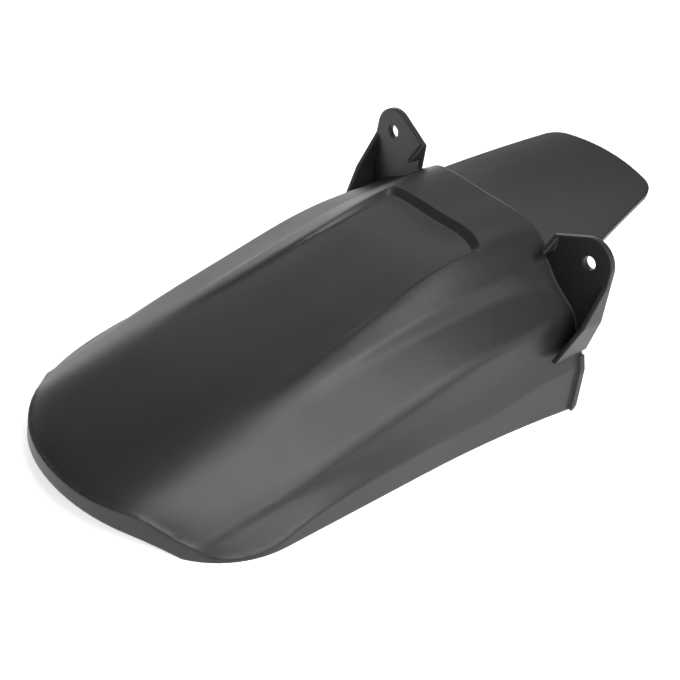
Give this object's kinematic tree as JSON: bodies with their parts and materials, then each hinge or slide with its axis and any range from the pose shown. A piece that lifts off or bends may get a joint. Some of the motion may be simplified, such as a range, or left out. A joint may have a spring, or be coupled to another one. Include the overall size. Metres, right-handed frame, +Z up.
{
  "type": "motorcycle rear fender",
  "caption": "Moulded rear fender for a light motorcycle: a ramped shell with raised rails, deep side skirts and a forward tongue, bolted through upright ears to cover the rear tyre.",
  "frame": {"origin": "middle of the overall length and width, at the height of the skirts' lower edge", "axes": "+X to the front of the machine, +Y to its left, +Z up"},
  "size_m": [0.349, 0.1772, 0.0953],
  "materials": {
    "black_plastic": "fine moulded grain, matte"
  },
  "bodies": {
    "root": {"rear_fender": "black_plastic"}
  },
  "joints": []
}
